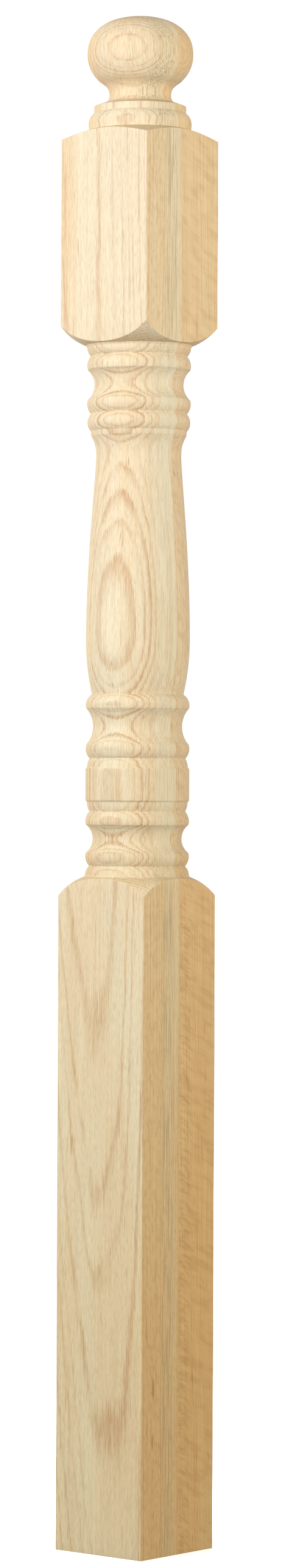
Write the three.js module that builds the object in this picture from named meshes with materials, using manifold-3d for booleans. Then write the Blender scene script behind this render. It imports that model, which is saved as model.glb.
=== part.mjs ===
// A turned oak newel post with a ball top.
// A square blank is turned on a lathe above and between two blocks that stay square, so the solid is
// what the blank and the turned outline have in common, in one piece from the foot to the ball.
// Millimetres, +Z up. The origin is the middle of the underside, and the faces look along X and Y.
import * as THREE from "three";
import { mergeVertices } from "three/addons/utils/BufferGeometryUtils.js";
import Module from "manifold-3d";

// Driving dimensions
const HEIGHT = 1219.2; // 48 inches
const BLOCK = 88.9; // side of the square blank, 3 1/2 inches
const CREST = 41.3; // radius of the beads, the vase and the drum, 3 1/4 inches across
const EDGE = 40.9; // radius where a bead breaks into a cove
const GROOVE = 38.2; // radius at the bottom of the grooves between beads
const COVE = 35.4; // radius at the bottom of the coves
const CORNER = BLOCK / Math.SQRT2; // radius of the blank's arrises
const CLEAR = CORNER + 4; // radius at which the outline passes outside the blank

// The ball, its neck, the collar that it stands on and the bead below that.
// A leave or arrive is the handle of a curve, as its reach outwards and upwards.
const BALL = { r: 42.1, middle: HEIGHT - 30.6, lowerHalf: 32.4, crown: 2.32, underTurn: 0.67 };
const NECK = { r: 24.5, z: 1156.5, leave: [-5.9, -4.3], arrive: [0, 6.4] };
const NECK_FOOT = { r: 31, z: 1149.6, leave: [0, -3.8], arrive: [-3.4, 0] };
const COLLAR = { r: 36.6, top: 1147.6, bottom: 1142.3 };
const BALL_BEAD = { r: 41, crest: 1133.8, bottomRadius: 40.6, bottom: 1128.4 };

// The two blocks, with levels at their arrises, and the rounded shoulder that they share
const UPPER_BLOCK = { top: 1120.7, bottom: 972.8 };
const LOWER_BLOCK = { top: 519.8 };
const SHOULDER = { r: 42.3, rise: 15.2, bulge: 1.8 };

// The turning between the blocks, as levels of each moulding from the top down
const UPPER_RING = { top: 956, bottom: 949.1 };
const BEAD_1 = { crest: 941.4, edge: 938.3 };
const BEAD_2 = { edge: 914.1, crest: 911.4, bottom: 903.3 };
const BEAD_3 = { crest: 896.2, bottom: 889.4 };
const FILLET = { r: 37.9, bottom: 885.7 };
const VASE_NECK = { r: 33.8, z: 870.1, leave: [-2.2, -4], arrive: [0, 8] };
const VASE_BELLY = { r: CREST, z: 723.9, leave: [0, -14.6], arrive: [0, 65.8] };
const VASE_FOOT = { r: 36.4, z: 680.1, leave: [0, -19.4], arrive: [2.2, 9.7] };
const BEAD_4 = { crest: 671.4, edge: 669 };
const BEAD_5 = { edge: 640.1, crest: 637.2, bottom: 629.2 };
const DRUM = { lip: 40.1, lipBulge: 0.5, upperLip: 622.2, top: 621, bottom: 595.8, lowerLip: 594.5 };
const BEAD_6 = { top: 587.1, crest: 578.7, edge: 576.5 };
const BEAD_7 = { edge: 554.1, crest: 551.4, bottom: 543.6 };
const LOWER_RING = { bottom: 536.5 };

// How finely each kind of curve is cut into straight stretches, and a section into facets
const SIDES = 40;
const STEPS = { crown: 9, under: 4, neck: 4, shoulder: 4, bead: 3, cove: 6, throat: 4, vase: 6, lip: 2 };

const point = (r, z) => new THREE.Vector2(r, z);

// A bead's side: a circular arc that stands upright at the crest and falls away to a groove
function roundOver(crest, groove) {
  const deep = crest.x - groove.x;
  const high = groove.y - crest.y;
  const radius = (deep * deep + high * high) / (2 * deep);
  const turn = Math.asin(high / radius);
  const curve = new THREE.EllipseCurve(crest.x - radius, crest.y, radius, radius, 0, turn, turn < 0);
  return curve.getPoints(STEPS.bead);
}

// The same from the groove up to the crest
const roundUp = (groove, crest) => roundOver(crest, groove).reverse();

// A circular arc whose middle stands off its chord: outwards where bulge is over 0, inwards for a cove
function arc(from, to, bulge, steps) {
  const chord = to.clone().sub(from);
  const length = chord.length();
  const out = point(-chord.y, chord.x).divideScalar(length);
  const radius = (length * length) / (8 * Math.abs(bulge)) + Math.abs(bulge) / 2;
  const half = Math.asin(length / (2 * radius));
  const middle = from.clone().add(to).divideScalar(2);
  const centre = middle.addScaledVector(out, bulge - Math.sign(bulge) * radius);
  const spoke = out.clone().multiplyScalar(Math.sign(bulge) * radius);
  const points = [];
  for (let i = 0; i <= steps; i++) {
    const turn = half * (1 - (2 * i) / steps) * Math.sign(bulge);
    points.push(centre.clone().add(spoke.clone().rotateAround(point(0, 0), turn)));
  }
  return points;
}

// A cove between two beads
const cove = (top, bottom) => arc(point(EDGE, top), point(EDGE, bottom), COVE - EDGE, STEPS.cove);

// A cubic curve down to a named place of the outline, along that place's two handles
function sweep(from, place, steps) {
  const to = point(place.r, place.z);
  const leave = from.clone().add(point(...place.leave));
  const arrive = to.clone().add(point(...place.arrive));
  return new THREE.CubicBezierCurve(from, leave, arrive, to).getPoints(steps);
}

// The ball from its pole down: a flattened crown, then an ellipse that turns under towards the neck
function ballOutline() {
  const points = [point(0, HEIGHT)];
  for (let i = 1; i <= STEPS.crown; i++) {
    const turn = (Math.PI / 2) * (i / STEPS.crown);
    const across = BALL.r * Math.pow(Math.sin(turn), 2 / BALL.crown);
    const up = (HEIGHT - BALL.middle) * Math.pow(Math.max(Math.cos(turn), 0), 2 / BALL.crown);
    points.push(point(across, BALL.middle + up));
  }
  for (let i = 1; i <= STEPS.under; i++) {
    const turn = BALL.underTurn * (i / STEPS.under);
    points.push(point(BALL.r * Math.cos(turn), BALL.middle - BALL.lowerHalf * Math.sin(turn)));
  }
  return points;
}

// The ball, its neck, the collar and the bead that stands on the upper block
function topOutline() {
  const ball = ballOutline();
  const collarFoot = point(COLLAR.r, COLLAR.bottom);
  return [
    ...ball,
    ...sweep(ball[ball.length - 1], NECK, STEPS.neck),
    ...sweep(point(NECK.r, NECK.z), NECK_FOOT, STEPS.neck),
    point(COLLAR.r, COLLAR.top),
    ...roundUp(collarFoot, point(BALL_BEAD.r, BALL_BEAD.crest)),
    point(BALL_BEAD.bottomRadius, BALL_BEAD.bottom),
  ];
}

// The stretch that passes outside the upper block, from its sloped top to its rounded underside
function upperBlockOutline() {
  const arris = point(CORNER, UPPER_BLOCK.bottom);
  const inner = point(SHOULDER.r, UPPER_BLOCK.bottom - SHOULDER.rise);
  return [
    point(CORNER, UPPER_BLOCK.top),
    point(CLEAR, UPPER_BLOCK.top),
    point(CLEAR, UPPER_BLOCK.bottom),
    ...arc(arris, inner, SHOULDER.bulge, STEPS.shoulder),
  ];
}

// Half a bead, a bead, a cove, two more beads and the fillet above the vase
function upperTurning() {
  const groove1 = point(GROOVE, UPPER_RING.bottom);
  const groove2 = point(GROOVE, BEAD_2.bottom);
  const bead3 = point(EDGE, BEAD_3.crest);
  return [
    ...roundOver(point(CREST, UPPER_RING.top), groove1),
    ...roundUp(groove1, point(CREST, BEAD_1.crest)),
    ...cove(BEAD_1.edge, BEAD_2.edge),
    ...roundOver(point(CREST, BEAD_2.crest), groove2),
    ...roundUp(groove2, bead3),
    ...roundOver(bead3, point(GROOVE, BEAD_3.bottom)),
    point(FILLET.r, FILLET.bottom),
  ];
}

// The long vase: a hollow throat, a straight swelling and a belly that turns in to its foot
function vaseOutline() {
  return [
    ...sweep(point(FILLET.r, FILLET.bottom), VASE_NECK, STEPS.throat),
    ...sweep(point(VASE_NECK.r, VASE_NECK.z), VASE_BELLY, STEPS.vase),
    ...sweep(point(VASE_BELLY.r, VASE_BELLY.z), VASE_FOOT, STEPS.vase),
  ];
}

// Bead, cove and bead, the drum between its two lips, then bead, cove, bead and half a bead
function lowerTurning() {
  const groove3 = point(GROOVE, BEAD_5.bottom);
  const groove4 = point(GROOVE, BEAD_6.top);
  const groove5 = point(GROOVE, BEAD_7.bottom);
  return [
    ...roundUp(point(VASE_FOOT.r, VASE_FOOT.z), point(CREST, BEAD_4.crest)),
    ...cove(BEAD_4.edge, BEAD_5.edge),
    ...roundOver(point(CREST, BEAD_5.crest), groove3),
    ...arc(groove3, point(DRUM.lip, DRUM.upperLip), DRUM.lipBulge, STEPS.lip),
    point(CREST, DRUM.top),
    point(CREST, DRUM.bottom),
    ...arc(point(DRUM.lip, DRUM.lowerLip), groove4, DRUM.lipBulge, STEPS.lip),
    ...roundUp(groove4, point(CREST, BEAD_6.crest)),
    ...cove(BEAD_6.edge, BEAD_7.edge),
    ...roundOver(point(CREST, BEAD_7.crest), groove5),
    ...roundUp(groove5, point(CREST, LOWER_RING.bottom)),
  ];
}

// The rounded top of the lower block, then outside it down to the foot and in to the axis
function lowerBlockOutline() {
  const inner = point(SHOULDER.r, LOWER_BLOCK.top + SHOULDER.rise);
  const arris = point(CORNER, LOWER_BLOCK.top);
  return [
    ...arc(inner, arris, SHOULDER.bulge, STEPS.shoulder),
    point(CLEAR, LOWER_BLOCK.top),
    point(CLEAR, 0),
    point(0, 0),
  ];
}

// The whole turned outline from the middle of the foot up to the pole of the ball, no point twice
function turnedOutline() {
  const points = [
    ...topOutline(),
    ...upperBlockOutline(),
    ...upperTurning(),
    ...vaseOutline(),
    ...lowerTurning(),
    ...lowerBlockOutline(),
  ];
  const least = 1e-6;
  return points.filter((p, i) => i === 0 || p.distanceTo(points[i - 1]) > least).reverse();
}

const wasm = await Module();
wasm.setup();

// A closed geometry as a solid that can be cut
function solidOf(geometry) {
  const bare = geometry.clone();
  bare.deleteAttribute("normal");
  bare.deleteAttribute("uv");
  const merged = mergeVertices(bare);
  const mesh = new wasm.Mesh({
    numProp: 3,
    vertProperties: merged.attributes.position.array,
    triVerts: new Uint32Array(merged.index.array),
  });
  return new wasm.Manifold(mesh);
}

// A cut solid as a geometry again
function geometryOf(solid) {
  const mesh = solid.getMesh();
  const geometry = new THREE.BufferGeometry();
  geometry.setAttribute("position", new THREE.BufferAttribute(mesh.vertProperties, 3));
  geometry.setIndex(new THREE.BufferAttribute(mesh.triVerts, 1));
  geometry.computeVertexNormals();
  return geometry;
}

// The blank stands on the ground with a little to spare above the ball
const SPARE = 2;
const blank = new THREE.BoxGeometry(BLOCK, BLOCK, HEIGHT + SPARE).translate(0, 0, (HEIGHT + SPARE) / 2);
const turned = new THREE.LatheGeometry(turnedOutline(), SIDES).rotateX(Math.PI / 2);
const post = solidOf(turned).intersect(solidOf(blank));

const oak = new THREE.MeshStandardMaterial({ color: 0xdcc196, roughness: 0.65, metalness: 0 });
const newelPost = new THREE.Mesh(geometryOf(post), oak);
newelPost.name = "newel_post";

const group = new THREE.Group();
group.add(newelPost);

export default group;
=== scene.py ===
# A raw red oak newel post, turned from a square blank that was glued up from two boards.
# The frame holds its solid. Here it gets a fine mesh, its wood, and a plain studio to stand in.
import cmath
import math

import bpy
from mathutils import Matrix, Vector


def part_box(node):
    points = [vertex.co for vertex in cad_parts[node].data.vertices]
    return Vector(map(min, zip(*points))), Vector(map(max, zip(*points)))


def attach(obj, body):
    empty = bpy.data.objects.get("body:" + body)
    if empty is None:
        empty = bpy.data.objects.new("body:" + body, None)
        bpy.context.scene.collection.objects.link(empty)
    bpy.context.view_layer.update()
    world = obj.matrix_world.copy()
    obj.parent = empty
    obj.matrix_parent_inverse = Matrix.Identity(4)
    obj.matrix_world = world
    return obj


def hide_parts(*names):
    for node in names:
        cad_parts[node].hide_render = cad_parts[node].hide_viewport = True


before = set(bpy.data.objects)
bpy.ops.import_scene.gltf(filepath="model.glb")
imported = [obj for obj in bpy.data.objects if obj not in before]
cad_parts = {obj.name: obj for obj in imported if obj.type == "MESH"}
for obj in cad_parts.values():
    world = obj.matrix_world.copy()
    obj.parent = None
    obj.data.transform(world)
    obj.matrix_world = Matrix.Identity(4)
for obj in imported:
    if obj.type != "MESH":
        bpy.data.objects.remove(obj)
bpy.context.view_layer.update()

# The outline is in millimetres, and a point of it is a complex number: its radius, and its height as 1j
MM = 0.001
low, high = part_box("newel_post")
BLOCK = (high.x - low.x) / MM
HEIGHT = high.z / MM
HALF = BLOCK / 2
CORNER = BLOCK / math.sqrt(2)
CREST = 41.3
EDGE = 40.9
GROOVE = 38.2
COVE = 35.4

# The ball, its neck, the collar that it stands on and the bead below that
BALL = {"r": 42.1, "middle": HEIGHT - 30.6, "lower_half": 32.4, "crown": 2.32, "under_turn": 0.67}
NECK = {"at": 24.5 + 1156.5j, "leave": -5.9 - 4.3j, "arrive": 6.4j}
NECK_FOOT = {"at": 31 + 1149.6j, "leave": -3.8j, "arrive": -3.4 + 0j}
COLLAR = {"r": 36.6, "top": 1147.6, "bottom": 1142.3}
BALL_BEAD = {"crest": 41 + 1133.8j, "bottom": 40.6 + 1128.4j}

# The two blocks, with levels at their arrises, and the rounded shoulder that they share
UPPER_TOP = 1120.7
UPPER_BOTTOM = 972.8
LOWER_TOP = 519.8
SHOULDER = {"r": 42.3, "rise": 15.2, "bulge": 1.8}

# The turning between the blocks, as levels of each moulding from the top down
UPPER_RING = {"top": 956, "bottom": 949.1}
BEAD_1 = {"crest": 941.4, "edge": 938.3}
BEAD_2 = {"edge": 914.1, "crest": 911.4, "bottom": 903.3}
BEAD_3 = {"crest": 896.2, "bottom": 889.4}
FILLET = 37.9 + 885.7j
VASE_NECK = {"at": 33.8 + 870.1j, "leave": -2.2 - 4j, "arrive": 8j}
VASE_BELLY = {"at": CREST + 723.9j, "leave": -14.6j, "arrive": 65.8j}
VASE_FOOT = {"at": 36.4 + 680.1j, "leave": -19.4j, "arrive": 2.2 + 9.7j}
BEAD_4 = {"crest": 671.4, "edge": 669}
BEAD_5 = {"edge": 640.1, "crest": 637.2, "bottom": 629.2}
DRUM = {"lip": 40.1, "bulge": 0.5, "upper_lip": 622.2, "top": 621, "bottom": 595.8, "lower_lip": 594.5}
BEAD_6 = {"top": 587.1, "crest": 578.7, "edge": 576.5}
BEAD_7 = {"edge": 554.1, "crest": 551.4, "bottom": 543.6}
LOWER_RING = 536.5

# How finely each curve is cut, and how far sanding has eased the corners
STEPS = {
    "crown": 26,
    "under": 9,
    "neck": 9,
    "bead": 8,
    "cove": 16,
    "throat": 9,
    "vase": 26,
    "lip": 4,
    "drum": 5,
}
SLOPE_ROWS = 5
SHOULDER_ROWS = 9
UPPER_ROWS = 20
LOWER_ROWS = 66
FOOT_RINGS = (0.92, 0.7, 0.45, 0.2)
EASE = 0.45
EASE_STEPS = 4
EASED_TURN = math.radians(22)
ARRIS = {"least": 0.7, "most": 1.3}
ARRIS_WAVES = ({"long": 37, "share": 0.3, "shift": 1.7}, {"long": 13, "share": 0.2, "shift": 2.9})
ARRIS_STEPS = 3
ARRIS_SUPPORT = 0.4
FACE_STEPS = 24
SHARP_TURN = math.radians(36)


def round_over(crest, groove):
    """A bead's side: a circular arc that stands upright at the crest and falls away to a groove"""
    deep = crest.real - groove.real
    tall = groove.imag - crest.imag
    radius = (deep**2 + tall**2) / (2 * deep)
    turn = math.asin(tall / radius)
    turns = [turn * i / STEPS["bead"] for i in range(STEPS["bead"] + 1)]
    return [crest - radius + cmath.rect(radius, t) for t in turns]


def round_up(groove, crest):
    """The same from the groove to the crest"""
    return round_over(crest, groove)[::-1]


def arc_centre(start, end, bulge):
    """Centre and radius of an arc whose middle stands off its chord, outwards where bulge is over 0"""
    chord = end - start
    radius = abs(chord) ** 2 / (8 * abs(bulge)) + abs(bulge) / 2
    inset = bulge - math.copysign(radius, bulge)
    return (start + end) / 2 + 1j * chord / abs(chord) * inset, radius


def arc(start, end, bulge, steps):
    """The points of that arc"""
    centre, radius = arc_centre(start, end, bulge)
    whole = 2 * math.asin(abs(end - start) / (2 * radius))
    turns = [-math.copysign(whole, bulge) * i / steps for i in range(steps + 1)]
    return [centre + (start - centre) * cmath.exp(1j * t) for t in turns]


def cove(top, bottom):
    """A cove between two beads"""
    return arc(complex(EDGE, top), complex(EDGE, bottom), COVE - EDGE, STEPS["cove"])


def sweep(start, place, steps):
    """A cubic curve down to a named place of the outline, along that place's two handles"""
    end = place["at"]
    leave = start + place["leave"]
    arrive = end + place["arrive"]
    shares = [i / steps for i in range(steps + 1)]
    return [
        (1 - t) ** 3 * start + 3 * t * (1 - t) ** 2 * leave + 3 * t**2 * (1 - t) * arrive + t**3 * end
        for t in shares
    ]


def straight(start, end, steps):
    """Points along a straight stretch"""
    return [start + (end - start) * i / steps for i in range(steps + 1)]


def blunt(before, corner, after):
    """A corner of the outline, eased by sanding"""
    back = before - corner
    ahead = after - corner
    reach = min(EASE, abs(back) / 2, abs(ahead) / 2)
    start = corner + back / abs(back) * reach
    end = corner + ahead / abs(ahead) * reach
    shares = [i / EASE_STEPS for i in range(EASE_STEPS + 1)]
    return [(1 - t) ** 2 * start + 2 * t * (1 - t) * corner + t**2 * end for t in shares]


def eased(points):
    """An outline with no point twice and its sharp corners eased"""
    least = 1e-6
    clean = [p for i, p in enumerate(points) if i == 0 or abs(p - points[i - 1]) > least]
    rows = [clean[0]]
    for before, corner, after in zip(clean, clean[1:], clean[2:]):
        turn = abs(cmath.phase((after - corner) / (corner - before)))
        rows += blunt(before, corner, after) if turn > EASED_TURN else [corner]
    return rows + [clean[-1]]


def ball_outline():
    """The ball from just below its pole: a flattened crown, then an ellipse that turns under"""
    rise = HEIGHT - BALL["middle"]
    power = 2 / BALL["crown"]
    points = []
    for i in range(1, STEPS["crown"] + 1):
        turn = math.pi / 2 * i / STEPS["crown"]
        across = BALL["r"] * math.sin(turn) ** power
        points.append(complex(across, BALL["middle"] + rise * max(math.cos(turn), 0) ** power))
    for i in range(1, STEPS["under"] + 1):
        turn = BALL["under_turn"] * i / STEPS["under"]
        down = BALL["lower_half"] * math.sin(turn)
        points.append(complex(BALL["r"] * math.cos(turn), BALL["middle"] - down))
    return points


def top_outline():
    """The ball, its neck, the collar and the bead that stands on the upper block"""
    ball = ball_outline()
    return [
        *ball,
        *sweep(ball[-1], NECK, STEPS["neck"]),
        *sweep(NECK["at"], NECK_FOOT, STEPS["neck"]),
        complex(COLLAR["r"], COLLAR["top"]),
        *round_up(complex(COLLAR["r"], COLLAR["bottom"]), BALL_BEAD["crest"]),
        BALL_BEAD["bottom"],
    ]


def turning_outline():
    """Everything turned between the two blocks"""
    groove_1 = complex(GROOVE, UPPER_RING["bottom"])
    groove_2 = complex(GROOVE, BEAD_2["bottom"])
    groove_3 = complex(GROOVE, BEAD_5["bottom"])
    groove_4 = complex(GROOVE, BEAD_6["top"])
    groove_5 = complex(GROOVE, BEAD_7["bottom"])
    bead_3 = complex(EDGE, BEAD_3["crest"])
    drum_top = complex(CREST, DRUM["top"])
    drum_bottom = complex(CREST, DRUM["bottom"])
    return [
        complex(SHOULDER["r"], UPPER_BOTTOM - SHOULDER["rise"]),
        *round_over(complex(CREST, UPPER_RING["top"]), groove_1),
        *round_up(groove_1, complex(CREST, BEAD_1["crest"])),
        *cove(BEAD_1["edge"], BEAD_2["edge"]),
        *round_over(complex(CREST, BEAD_2["crest"]), groove_2),
        *round_up(groove_2, bead_3),
        *round_over(bead_3, complex(GROOVE, BEAD_3["bottom"])),
        *sweep(FILLET, VASE_NECK, STEPS["throat"]),
        *sweep(VASE_NECK["at"], VASE_BELLY, STEPS["vase"]),
        *sweep(VASE_BELLY["at"], VASE_FOOT, STEPS["vase"]),
        *round_up(VASE_FOOT["at"], complex(CREST, BEAD_4["crest"])),
        *cove(BEAD_4["edge"], BEAD_5["edge"]),
        *round_over(complex(CREST, BEAD_5["crest"]), groove_3),
        *arc(groove_3, complex(DRUM["lip"], DRUM["upper_lip"]), DRUM["bulge"], STEPS["lip"]),
        *straight(drum_top, drum_bottom, STEPS["drum"]),
        *arc(complex(DRUM["lip"], DRUM["lower_lip"]), groove_4, DRUM["bulge"], STEPS["lip"]),
        *round_up(groove_4, complex(CREST, BEAD_6["crest"])),
        *cove(BEAD_6["edge"], BEAD_7["edge"]),
        *round_over(complex(CREST, BEAD_7["crest"]), groove_5),
        *round_up(groove_5, complex(CREST, LOWER_RING)),
        complex(SHOULDER["r"], LOWER_TOP + SHOULDER["rise"]),
    ]


TOP_ROWS = eased(top_outline())
TURNING_ROWS = eased(turning_outline())
SHOULDER_INNER = complex(SHOULDER["r"], -SHOULDER["rise"])
SHOULDER_CENTRE, SHOULDER_RADIUS = arc_centre(complex(CORNER, 0), SHOULDER_INNER, SHOULDER["bulge"])


def slope_height(radius):
    """Height of the upper block's sloped top"""
    inner = BALL_BEAD["bottom"]
    share = (radius - inner.real) / (CORNER - inner.real)
    return inner.imag + (UPPER_TOP - inner.imag) * share


def shoulder_drop(radius):
    """How far the rounded shoulder has turned in from the level of the arris"""
    across = radius - SHOULDER_CENTRE.real
    return math.sqrt(SHOULDER_RADIUS**2 - across**2) - SHOULDER_CENTRE.imag


def block_radius(angle, height):
    """Radius of the square section, with its arris rounded by hand and so not quite evenly"""
    turn = (angle + math.pi / 4) % (math.pi / 2) - math.pi / 4
    arris = math.floor(angle / (math.pi / 2))
    sway = 0.5
    for wave in ARRIS_WAVES:
        sway += wave["share"] * math.sin(height / wave["long"] + wave["shift"] * arris)
    rounding = ARRIS["least"] + (ARRIS["most"] - ARRIS["least"]) * sway
    if abs(turn) <= math.atan2(HALF - rounding, HALF):
        return HALF / math.cos(turn)
    middle = (HALF - rounding) * math.sqrt(2)
    off = math.pi / 4 - abs(turn)
    return middle * math.cos(off) + math.sqrt(rounding**2 - (middle * math.sin(off)) ** 2)


def block_rows(angle, top, bottom, rows):
    """Points down a block's side, without its two ends"""
    heights = [top + (bottom - top) * i / rows for i in range(1, rows)]
    return [complex(block_radius(angle, h), h) for h in heights]


def section(angle):
    """The post's outline at one angle, from the first ring of the crown to the last ring of the foot"""
    inner = BALL_BEAD["bottom"].real
    outer = block_radius(angle, UPPER_TOP)
    slope = [inner + (outer - inner) * i / SLOPE_ROWS for i in range(1, SLOPE_ROWS + 1)]
    slope = [complex(r, slope_height(r)) for r in slope]

    outer = block_radius(angle, UPPER_BOTTOM)
    reach = outer - SHOULDER["r"]
    radii = [SHOULDER["r"] + reach * i / SHOULDER_ROWS for i in range(1, SHOULDER_ROWS + 1)]
    under = [complex(r, UPPER_BOTTOM - shoulder_drop(r)) for r in reversed(radii)]
    upper = block_rows(angle, slope[-1].imag, under[0].imag, UPPER_ROWS)

    over = [complex(r, LOWER_TOP + shoulder_drop(r)) for r in radii]
    lower = block_rows(angle, over[-1].imag, 0, LOWER_ROWS)
    foot_edge = complex(block_radius(angle, 0), 0)
    foot = [foot_edge.real * ring + 0j for ring in FOOT_RINGS]
    return [
        *TOP_ROWS,
        *slope[:-1],
        *blunt(slope[-2], slope[-1], upper[0]),
        *upper,
        *blunt(upper[-1], under[0], under[1]),
        *under[1:],
        *TURNING_ROWS,
        *over[:-1],
        *blunt(over[-2], over[-1], lower[0]),
        *lower,
        *blunt(lower[-1], foot_edge, foot[0]),
        *foot,
    ]


def column_angles():
    """The angles of the mesh's columns: evenly over each face, and close together round each arris"""
    start = math.atan2(HALF - ARRIS["most"], HALF)
    support = math.atan2(HALF - ARRIS["most"] - ARRIS_SUPPORT, HALF)
    inner = [support * (2 * i / FACE_STEPS - 1) for i in range(FACE_STEPS + 1)]
    bend = (math.pi / 4 - start) / ARRIS_STEPS
    bends = [start + bend * i for i in range(2 * ARRIS_STEPS)]
    quarter = [-start, *inner, *bends]
    return [math.pi + face * math.pi / 2 + turn for face in range(4) for turn in quarter]


def lengths(points):
    """How far along a line each of its points is, as a share of the whole"""
    run = [0.0]
    for a, b in zip(points, points[1:]):
        run.append(run[-1] + abs(b - a))
    return [r / run[-1] for r in run]


# Room on the flat map of the surface: the sides fill it but for a strip with the foot
MAP_EDGE = 0.004
MAP_FOOT = 0.08


def make_post():
    """The whole post as one closed mesh of rings and columns, with a flat map of its surface"""
    angles = column_angles()
    columns = len(angles)
    sections = [section(angle) for angle in angles]
    rows = len(sections[0])
    foot_row = rows - len(FOOT_RINGS) - 1

    points = [Vector((0, 0, HEIGHT))]
    for row in range(rows):
        for angle, line in zip(angles, sections):
            r = line[row].real
            points.append(Vector((r * math.cos(angle), r * math.sin(angle), line[row].imag)))
    points.append(Vector((0, 0, 0)))
    foot_middle = len(points) - 1

    around = [cmath.rect(block_radius(a, 0), a) for a in [*angles, angles[0] + 2 * math.pi]]
    across = [MAP_EDGE + (1 - 2 * MAP_EDGE) * u for u in lengths(around)]
    middle_line = sections[1 + FACE_STEPS // 2][: foot_row + 1]
    along = lengths([complex(0, HEIGHT), *middle_line])
    up = [1 - MAP_EDGE - (1 - MAP_FOOT - 2 * MAP_EDGE) * v for v in along]

    def vertex(row, column):
        return 1 + row * columns + column % columns

    def side_map(row, column):
        return across[column], up[row + 1]

    def foot_map(index):
        place = points[index]
        inside = MAP_FOOT - 2 * MAP_EDGE
        return (
            MAP_EDGE + inside * (0.5 + place.x / (2 * CORNER)),
            MAP_EDGE + inside * (0.5 + place.y / (2 * CORNER)),
        )

    faces = []
    maps = []
    for column in range(columns):
        first = (vertex(0, column), vertex(0, column + 1))
        faces.append((0, *first))
        middle = (across[column] + across[column + 1]) / 2
        maps += [(middle, up[0]), side_map(0, column), side_map(0, column + 1)]
        for row in range(rows - 1):
            ring = [(row, column), (row + 1, column), (row + 1, column + 1), (row, column + 1)]
            face = tuple(vertex(*spot) for spot in ring)
            faces.append(face)
            maps += [side_map(*spot) for spot in ring] if row < foot_row else [foot_map(i) for i in face]
        face = (vertex(rows - 1, column + 1), vertex(rows - 1, column), foot_middle)
        faces.append(face)
        maps += [foot_map(i) for i in face]

    mesh = bpy.data.meshes.new("turned_oak_post")
    mesh.from_pydata([p * MM for p in points], [], faces)
    flat = mesh.uv_layers.new(name="OFBake")
    flat.data.foreach_set("uv", [value for pair in maps for value in pair])
    mesh.shade_smooth()
    mesh.set_sharp_from_angle(angle=SHARP_TURN)
    mesh.validate()
    post = bpy.data.objects.new("turned_oak_post", mesh)
    bpy.context.scene.collection.objects.link(post)
    return post


class Field:
    """A value in a node tree that can be added and multiplied as a number can"""

    def __init__(self, socket):
        self.socket = socket
        self.tree = socket.id_data

    def math(self, operation, *others):
        made = self.tree.nodes.new("ShaderNodeMath")
        made.operation = operation
        for value, socket in zip((self, *others), made.inputs):
            feed(socket, value)
        return Field(made.outputs[0])

    def __add__(self, other):
        return self.math("ADD", other)

    def __sub__(self, other):
        return self.math("SUBTRACT", other)

    def __rsub__(self, other):
        return self.math("MULTIPLY_ADD", -1, other)

    def __mul__(self, other):
        return self.math("MULTIPLY", other)

    def __truediv__(self, other):
        return self.math("DIVIDE", other)


def feed(socket, value):
    """Links a field to a socket, or sets the socket to a plain value"""
    if isinstance(value, Field):
        socket.id_data.links.new(value.socket, socket)
    else:
        socket.default_value = value


def vector_math(operation, first, *others):
    """A vector worked out from a field and from other fields or plain vectors"""
    made = first.tree.nodes.new("ShaderNodeVectorMath")
    made.operation = operation
    for value, socket in zip((first, *others), made.inputs):
        feed(socket, value)
    return Field(made.outputs["Vector"])


def parts_of(vector):
    """The X, Y and Z of a vector"""
    made = vector.tree.nodes.new("ShaderNodeSeparateXYZ")
    feed(made.inputs[0], vector)
    return [Field(socket) for socket in made.outputs]


def joined(x, y, z):
    """A vector from three fields"""
    made = x.tree.nodes.new("ShaderNodeCombineXYZ")
    for value, socket in zip((x, y, z), made.inputs):
        feed(socket, value)
    return Field(made.outputs[0])


def rise(value, low, high):
    """0 before low and 1 past high, smooth between. It falls where low is the larger"""
    made = value.tree.nodes.new("ShaderNodeMapRange")
    made.interpolation_type = "SMOOTHSTEP"
    feed(made.inputs["Value"], value)
    made.inputs["From Min"].default_value = low
    made.inputs["From Max"].default_value = high
    return Field(made.outputs["Result"])


# What noise varies around
NOISE_MIDDLE = 0.5


def noise(spot, size, detail=1.0):
    """Soft noise around 0.5, in lumps of that size along X, Y and Z"""
    made = spot.tree.nodes.new("ShaderNodeTexNoise")
    feed(made.inputs["Vector"], vector_math("DIVIDE", spot, size))
    made.inputs["Scale"].default_value = 1
    made.inputs["Detail"].default_value = detail
    return Field(made.outputs["Fac"])


def noise_along(value, size):
    """Soft noise around 0.5 along one value"""
    made = value.tree.nodes.new("ShaderNodeTexNoise")
    made.noise_dimensions = "1D"
    feed(made.inputs["W"], value / size)
    made.inputs["Scale"].default_value = 1
    return Field(made.outputs["Fac"])


def chance(value):
    """A number from 0 to 1 for each whole number"""
    made = value.tree.nodes.new("ShaderNodeTexWhiteNoise")
    made.noise_dimensions = "1D"
    feed(made.inputs["W"], value)
    return Field(made.outputs["Value"])


def at_least(value, least):
    """A field from 0 to 1, raised so that it starts from some least value"""
    return value * (1 - least) + least


# Where a mix node keeps its share and its colours, which the names of its sockets don't tell apart
MIX = {"share": 0, "under": 6, "over": 7, "result": 2}


def blend(under, over, share, way="MIX"):
    """One colour over another by a share of it"""
    made = share.tree.nodes.new("ShaderNodeMix")
    made.data_type = "RGBA"
    made.blend_type = way
    feed(made.inputs[MIX["share"]], share)
    feed(made.inputs[MIX["under"]], under)
    feed(made.inputs[MIX["over"]], over)
    return Field(made.outputs[MIX["result"]])


# The oak's colours, as light that it gives back
LATEWOOD = (0.68, 0.59, 0.415, 1)
EARLYWOOD = (0.52, 0.34, 0.185, 1)
PORE = (0.39, 0.245, 0.11, 1)
GREY = (0.66, 0.585, 0.40, 1)
PALE = (0.76, 0.71, 0.53, 1)
STAIN = (0.39, 0.29, 0.145, 1)
MINERAL = (0.33, 0.18, 0.08, 1)

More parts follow.
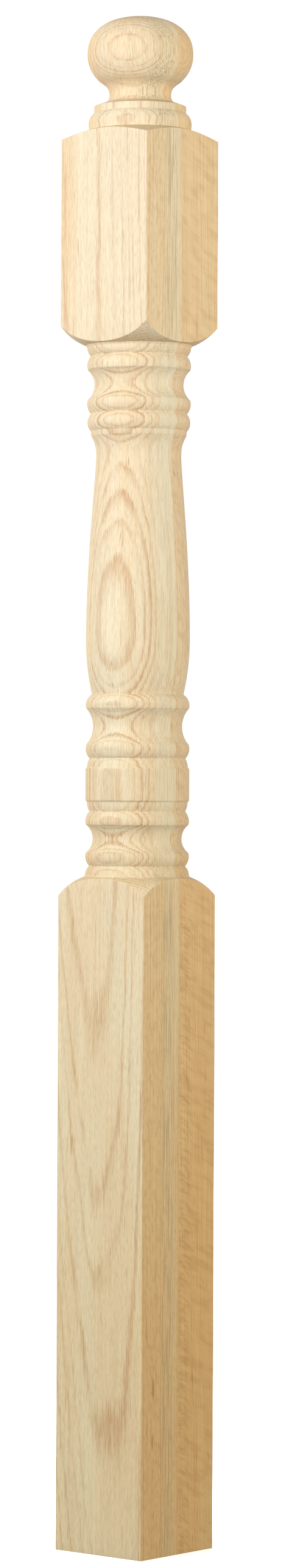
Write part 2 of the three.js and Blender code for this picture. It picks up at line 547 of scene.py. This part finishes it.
# Tints that the colours are multiplied by
RAY_DARK = (0.93, 0.90, 0.86, 1)
RAY_LIGHT = (1.04, 1.05, 1.06, 1)
FLECK = (0.91, 0.87, 0.81, 1)
PINK = (0.98, 0.90, 0.83, 1)
BACK_BOARD = (1.0, 0.95, 0.87, 1)
FLUSH = (0.98, 0.85, 0.72, 1)
# Partly the edge grain's own deeper tone, partly painted shade on the X-facing sides
EDGE_GRAIN_AND_SHADE = (0.975, 0.805, 0.575, 1)
END_GRAIN = (0.93, 0.86, 0.75, 1)
# Painted shade that darkens the whole post towards the bottom
FALLOFF_SHADE = (0.82, 0.78, 0.66, 1)

# The rings of the two boards, in millimetres: each pith's place at the foot, and its lean per millimetre
RING_STEP = 2.9
RING_START = 1.29
BOARD_SEED = (173, 59, 317)
FRONT_PITH = {"x": 18, "lean_x": -0.049, "y": 96, "lean_y": -0.021}
BACK_PITH = {"x": 6, "lean_x": 0.02, "y": 190, "lean_y": -0.03}

# The front board's pith bends back a little, then stands upright, and it bows along the vase
FRONT_BEND = {"above": 730, "lean_x": 0.023}
FRONT_UPRIGHT = 820
FRONT_BOW = {"low": 665, "middle": 770, "high": 875, "curve": 0.0003}

# How far the rings stray, in millimetres, and how much less ragged they are on edge grain
STRAY = {"sway": 5, "ripple": 1.5, "ragged": 1.2, "smooth_edge": 0.9, "ring_width": 3.5}
RING_WIDTH_SIZE = 8

# Which way runs along the front board's rings, and how its rays turn and slant and its flecks arch
ALONG_RINGS = {"x": 0.94, "y": 0.34}
RAY_TURN = 0.36
RAY_SLANT = 0.4
FLECK_ARCH = 0.03

# Size of each irregularity along X, Y and Z, in millimetres
SIZE = {
    "sway": (70, 70, 420),
    "ripple": (17, 17, 130),
    "ragged": (0.9, 0.9, 20),
    "patch": (7, 7, 110),
    "stroke": (0.8, 0.8, 34),
    "dash": (0.5, 0.5, 13),
    "fibre": (0.4, 0.4, 32),
    "tone": (2.2, 2.2, 90),
    "ray": (0.9, 17, 6),
    "fleck": (12, 9, 3.0),
    "streak": (4, 4, 130),
    "line": (0.9, 0.9, 40),
    "mark": (1.3, 1.3, 34),
    "broad": (40, 40, 260),
    "band": (4, 4, 240),
}
FINE_DETAIL = 2.0

# Where each of them starts to show and where it shows fully, on noise around 0.5
NOISE_SPAN = {
    "patch": (0.32, 0.55),
    "stroke": (0.36, 0.62),
    "dash": (0.5, 0.66),
    "ray_dark": (0.5, 0.68),
    "ray_light": (0.5, 0.32),
    "fleck": (0.46, 0.62),
    "streak": (0.3, 0.6),
    "line": (0.5, 0.6),
    "mark": (0.69, 0.77),
    "broad": (0.35, 0.65),
    "band": (0.42, 0.62),
}

# The same along X, Y and Z, in millimetres
X_SPAN = {"mark": (36, 40), "flush": (-16, -40)}
Y_SPAN = {
    "back": (-0.06, 0.06),
    "joint": (0.4, 0.1),
    "streak": (-23, -13),
    "streak_end": (-0.5, -3.5),
    "line": (-24, -17),
    "line_end": (-4, -9),
    "fleck": (0.5, 2),
    "fleck_end": (19, 12),
}
Z_SPAN = {
    "turned": (525, 560),
    "turned_end": (968, 940),
    "fleck": (640, 480),
    "streak": (100, 620),
    "flush": (930, 990),
    "ball": (1140, 1165),
    # Painted shade on edge grain, growing from the top of the turning down towards the foot
    "edge_grain_and_shade": (950, 150),
    # Painted shade: none from 1000 mm up, full at the foot
    "falloff_shade": (1000, 0),
}

# The same across a ring, over a mark, and by how far the surface faces along the rings or up and down
RING_SPAN = {"start": (0.0, 0.13), "fade": (0.38, 0.1)}
MARK_SPAN = (1, 0.2)
FACING_SPAN = {"edge": (0.35, 0.95), "end": (0.7, 1.0)}

# The least of what varies, where 1 is the most
LEAST = {"ring": 0.35, "patch": 0.4, "stroke": 0.6, "pore": 0.08, "streak": 0.4, "edge_grain_and_shade": 0.6}

# How much of each colour, tint or tone is laid on
AMOUNT = {
    "pore": 0.45,
    "joint": 0.2,
    "mark": 0.5,
    "broad": 0.7,
    "band": 0.3,
    "flush": 0.3,
    "flush_band": 0.5,
    "ball": 0.3,
    "streak": 0.5,
    "pale": 0.3,
    "line": 0.65,
    "fibre": 0.15,
    "tone": 0.22,
}

# How much weaker the rings are on edge grain and broader on the turning, and what else is weaker there
EDGE_FADE = 0.4
TURNED_BROADER = 0.35
TURNED_LESS = {"back": 0.6, "edge_grain_and_shade": 0.45, "line": 0.7}

# The sanded surface, with the depth of its bumps in millimetres
ROUGHNESS = {"least": 0.52, "pore": 0.15, "fibre": 0.2}
SPECULAR = 0.3
BUMP = {"strength": 0.22, "depth": 0.25, "fibre": 0.5}

# Small dark marks on the right-hand side: where they are and half their size, in millimetres
MARKS = (
    {"y": -30, "z": 134, "wide": 1.9, "long": 10},
    {"y": -30.7, "z": 92, "wide": 1.5, "long": 8},
    {"y": -16, "z": 1080, "wide": 0.9, "long": 16},
)


def pith_distance(grain, x, y, z, back, edgewise):
    """Distance from the pith of either board, which leans along the post and never runs quite true"""
    past_bend = (z - FRONT_BEND["above"]).math("MAXIMUM", 0)
    front_x = z * FRONT_PITH["lean_x"] + FRONT_PITH["x"] + past_bend * FRONT_BEND["lean_x"]
    bow = z.math("MAXIMUM", FRONT_BOW["low"]).math("MINIMUM", FRONT_BOW["high"]) - FRONT_BOW["middle"]
    leaning = z.math("MINIMUM", FRONT_UPRIGHT)
    front_y = leaning * FRONT_PITH["lean_y"] + FRONT_PITH["y"] - bow * bow * FRONT_BOW["curve"]
    back_x = z * BACK_PITH["lean_x"] + BACK_PITH["x"]
    back_y = z * BACK_PITH["lean_y"] + BACK_PITH["y"]
    across = x - (front_x + (back_x - front_x) * back)
    deep = y - (front_y + (back_y - front_y) * back)
    radius = (across * across + deep * deep).math("SQRT")
    sway = noise(grain, SIZE["sway"]) * STRAY["sway"]
    ripple = noise(grain, SIZE["ripple"]) * STRAY["ripple"]
    ragged = noise(grain, SIZE["ragged"]) * (STRAY["ragged"] - edgewise * STRAY["smooth_edge"])
    radius = radius + sway + ripple + ragged
    return radius + noise_along(radius, RING_WIDTH_SIZE) * STRAY["ring_width"]


def oak_material():
    """Raw sanded red oak: rings round a pith for each board, open pores, rays and a grey streak, with
    painted shade that darkens it towards the bottom
    """
    oak = bpy.data.materials.new("sanded_red_oak")
    oak.use_nodes = True
    tree = oak.node_tree
    shader = tree.nodes["Principled BSDF"]
    places = tree.nodes.new("ShaderNodeTexCoord")
    spot = vector_math("MULTIPLY", Field(places.outputs["Object"]), (1 / MM, 1 / MM, 1 / MM))
    facing_x, facing_y, facing_z = parts_of(Field(places.outputs["Normal"]))
    x, y, z = parts_of(spot)
    back = rise(y, *Y_SPAN["back"])
    grain = vector_math("MULTIPLY_ADD", back, BOARD_SEED, spot)

    def patches(name):
        return rise(noise(grain, SIZE[name]), *NOISE_SPAN[name])

    facing = (facing_x * ALONG_RINGS["x"] + facing_y * ALONG_RINGS["y"] * (1 - back)).math("ABSOLUTE")
    edgewise = rise(facing, *FACING_SPAN["edge"])
    radius = pith_distance(grain, x, y, z, back, edgewise)
    turn = radius / RING_STEP + RING_START
    ring = turn.math("FLOOR")
    share = turn.math("FRACT")

    # Earlywood starts sharply at each ring and fades into latewood, more broadly where the wood is turned
    turned = rise(z, *Z_SPAN["turned"]) * rise(z, *Z_SPAN["turned_end"])
    broadened = share * (1 - turned * TURNED_BROADER)
    early = rise(share, *RING_SPAN["start"]) * rise(broadened, *RING_SPAN["fade"])
    early = early * at_least(chance(ring), LEAST["ring"])
    early = early * at_least(patches("patch"), LEAST["patch"])
    early = early * at_least(patches("stroke"), LEAST["stroke"])
    pores = patches("dash") * at_least(early, LEAST["pore"])
    fibres = noise(grain, SIZE["fibre"], FINE_DETAIL)
    tones = noise(grain, SIZE["tone"], FINE_DETAIL)

    # Rays lie in sheets from the pith outwards, so they show broad only on edge grain
    tangent = x + y * RAY_TURN * (1 - back)
    rays = noise(joined(tangent, radius, z + y * RAY_SLANT), SIZE["ray"])
    arched = joined(x, y, z + y * y * FLECK_ARCH)
    flecks = rise(noise(arched, SIZE["fleck"]), *NOISE_SPAN["fleck"])
    flecks = flecks * rise(y, *Y_SPAN["fleck"]) * rise(y, *Y_SPAN["fleck_end"]) * rise(z, *Z_SPAN["fleck"])

    # The grey streak in front of the joint with its thin lines, the joint itself and a few mineral marks
    streak = rise(y, *Y_SPAN["streak"]) * rise(y, *Y_SPAN["streak_end"])
    streak = streak * at_least(rise(z, *Z_SPAN["streak"]), LEAST["streak"])
    streak = streak * at_least(patches("streak"), LEAST["streak"])
    joint = rise(y.math("ABSOLUTE"), *Y_SPAN["joint"])
    lines = patches("line") * rise(y, *Y_SPAN["line"]) * rise(y, *Y_SPAN["line_end"])
    marks = patches("mark")
    for mark in MARKS:
        across = (y - mark["y"]) / mark["wide"]
        along = (z - mark["z"]) / mark["long"]
        marks = marks + rise(across * across + along * along, *MARK_SPAN) * rise(x, *X_SPAN["mark"])

    colour = blend(LATEWOOD, EARLYWOOD, early * (1 - edgewise * EDGE_FADE))
    colour = blend(colour, PORE, pores * AMOUNT["pore"])
    colour = blend(colour, RAY_DARK, rise(rays, *NOISE_SPAN["ray_dark"]), "MULTIPLY")
    colour = blend(colour, RAY_LIGHT, rise(rays, *NOISE_SPAN["ray_light"]), "MULTIPLY")
    colour = blend(colour, FLECK, flecks, "MULTIPLY")
    colour = blend(colour, PORE, joint * AMOUNT["joint"])
    colour = blend(colour, MINERAL, marks * AMOUNT["mark"])

    # Broad pink patches and narrow bands, the back board, and a warmer left edge and ball at the top
    bands = patches("band")
    pink = patches("broad") * AMOUNT["broad"] + bands * AMOUNT["band"]
    colour = blend(colour, PINK, pink, "MULTIPLY")
    colour = blend(colour, BACK_BOARD, back * (1 - turned * TURNED_LESS["back"]), "MULTIPLY")
    flush = rise(x, *X_SPAN["flush"]) * rise(z, *Z_SPAN["flush"])
    flush = flush * (bands * AMOUNT["flush_band"] + AMOUNT["flush"])
    flush = flush + rise(z, *Z_SPAN["ball"]) * AMOUNT["ball"]
    colour = blend(colour, FLUSH, flush, "MULTIPLY")

    # Edge grain and end grain are deeper than flat grain; painted shade deepens the edge grain further
    # towards the bottom
    deeper = edgewise * at_least(rise(z, *Z_SPAN["edge_grain_and_shade"]), LEAST["edge_grain_and_shade"])
    deeper = deeper * (1 - turned * TURNED_LESS["edge_grain_and_shade"])
    colour = blend(colour, EDGE_GRAIN_AND_SHADE, deeper, "MULTIPLY")
    colour = blend(colour, GREY, streak * AMOUNT["streak"])
    colour = blend(colour, PALE, streak * turned * AMOUNT["pale"])
    colour = blend(colour, STAIN, lines * (1 - turned * TURNED_LESS["line"]) * AMOUNT["line"])
    endwise = rise(facing_z.math("ABSOLUTE"), *FACING_SPAN["end"])
    colour = blend(colour, END_GRAIN, endwise, "MULTIPLY")
    # Painted shade: the post grows darker towards the bottom
    colour = blend(colour, FALLOFF_SHADE, rise(z, *Z_SPAN["falloff_shade"]), "MULTIPLY")
    tone = (fibres - NOISE_MIDDLE) * AMOUNT["fibre"] + (tones - NOISE_MIDDLE) * AMOUNT["tone"] + 1
    colour = vector_math("MULTIPLY", colour, joined(tone, tone, tone))
    feed(shader.inputs["Base Color"], colour)

    rough = pores * ROUGHNESS["pore"] + fibres * ROUGHNESS["fibre"] + ROUGHNESS["least"]
    feed(shader.inputs["Roughness"], rough)
    shader.inputs["Specular IOR Level"].default_value = SPECULAR
    bump = tree.nodes.new("ShaderNodeBump")
    bump.inputs["Strength"].default_value = BUMP["strength"]
    bump.inputs["Distance"].default_value = BUMP["depth"] * MM
    feed(bump.inputs["Height"], fibres * BUMP["fibre"] - pores)
    feed(shader.inputs["Normal"], Field(bump.outputs["Normal"]))
    return oak


# The floor's half-width in metres, and its paint
FLOOR_REACH = 60
FLOOR_PAINT = {"grey": 0.9, "roughness": 0.9, "specular": 0.1, "glow": 0.46}


def make_floor():
    """A plain white floor, far wider than any view, that throws no light back up at the post"""
    reach = FLOOR_REACH
    mesh = bpy.data.meshes.new("floor")
    corners = [(-reach, -reach, 0), (reach, -reach, 0), (reach, reach, 0), (-reach, reach, 0)]
    mesh.from_pydata(corners, [], [(0, 1, 2, 3)])
    floor = bpy.data.objects.new("floor", mesh)
    bpy.context.scene.collection.objects.link(floor)
    paint = bpy.data.materials.new("pale_floor")
    paint.use_nodes = True
    shader = paint.node_tree.nodes["Principled BSDF"]
    grey = FLOOR_PAINT["grey"]
    shader.inputs["Base Color"].default_value = (grey, grey, grey, 1)
    shader.inputs["Roughness"].default_value = FLOOR_PAINT["roughness"]
    shader.inputs["Specular IOR Level"].default_value = FLOOR_PAINT["specular"]
    shader.inputs["Emission Color"].default_value = (1, 1, 1, 1)
    shader.inputs["Emission Strength"].default_value = FLOOR_PAINT["glow"]
    mesh.materials.append(paint)
    floor.visible_diffuse = False


# The camera stands level, a little below the middle of the post, and looks at its front arris
VIEW = {"azimuth": math.radians(40.19), "distance": 3.842, "height": 0.6089, "aside": 0.0085}
LENS = 110.8
ROLL = math.radians(0.247)


def make_camera():
    """The photograph's point of view"""
    azimuth = VIEW["azimuth"]
    ahead = Vector((-math.sin(azimuth), math.cos(azimuth), 0))
    right = Vector((math.cos(azimuth), math.sin(azimuth), 0))
    above = Vector((0, 0, 1))
    lens = bpy.data.cameras.new("photo_camera")
    lens.lens = LENS
    camera = bpy.data.objects.new("photo_camera", lens)
    turned = Matrix((right, above, -ahead)).transposed() @ Matrix.Rotation(ROLL, 3, "Z")
    place = right * VIEW["aside"] - ahead * VIEW["distance"] + above * VIEW["height"]
    camera.matrix_world = Matrix.Translation(place) @ turned.to_4x4()
    bpy.context.scene.collection.objects.link(camera)
    bpy.context.scene.camera = camera


# Soft boxes: where each stands, what it faces, its side in metres, its power and its colour
SOFT_BOXES = {
    "key": {
        "at": (-0.9, -1.9, 1.25),
        "to": (0, 0, 0.9),
        "side": 1.0,
        "watts": 36,
        "colour": (0.96, 1, 1.07),
    },
    "fill": {
        "at": (2.2, -0.6, 1.2),
        "to": (0, 0, 0.8),
        "side": 1.2,
        "watts": 43,
        "colour": (1, 0.98, 0.95),
    },
}


def make_lights():
    """A soft key from the left and a soft fill from the right"""
    collection = bpy.context.scene.collection
    for name, box in SOFT_BOXES.items():
        light = bpy.data.lights.new(name, "AREA")
        light.energy = box["watts"]
        light.color = box["colour"]
        light.size = box["side"]
        lamp = bpy.data.objects.new(name, light)
        lamp.location = box["at"]
        aim = Vector(box["to"]) - Vector(box["at"])
        lamp.rotation_euler = aim.to_track_quat("-Z", "Y").to_euler()
        lamp.visible_camera = False
        collection.objects.link(lamp)


# The studio's light from all round, the parts of it that are dimmer, and where they start and end
WORLD = {"light": 1.02, "right_dimmer": 0.9, "below": 0.35}
RIGHT_SPAN = (-0.5, 0.7)
ABOVE_SPAN = (0.12, 0.3)
BELOW_SPAN = (-0.06, -0.01)


def make_world():
    """White, but dimmer high on the right and below, so that right-hand faces and undersides are in shade"""
    world = bpy.data.worlds.new("studio")
    bpy.context.scene.world = world
    world.use_nodes = True
    tree = world.node_tree
    sky = tree.nodes["Background"]
    sky.inputs["Color"].default_value = (1, 1, 1, 1)
    places = tree.nodes.new("ShaderNodeTexCoord")
    toward_right, _, above = parts_of(Field(places.outputs["Generated"]))
    shade = rise(toward_right, *RIGHT_SPAN) * rise(above, *ABOVE_SPAN)
    light = WORLD["light"] - shade * WORLD["right_dimmer"]
    feed(sky.inputs["Strength"], light * at_least(rise(above, *BELOW_SPAN), WORLD["below"]))


make_camera()
post = make_post()
post.data.materials.append(oak_material())
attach(post, "root")
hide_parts("newel_post")
make_floor()
make_lights()
make_world()
bpy.context.scene.view_settings.view_transform = "Standard"
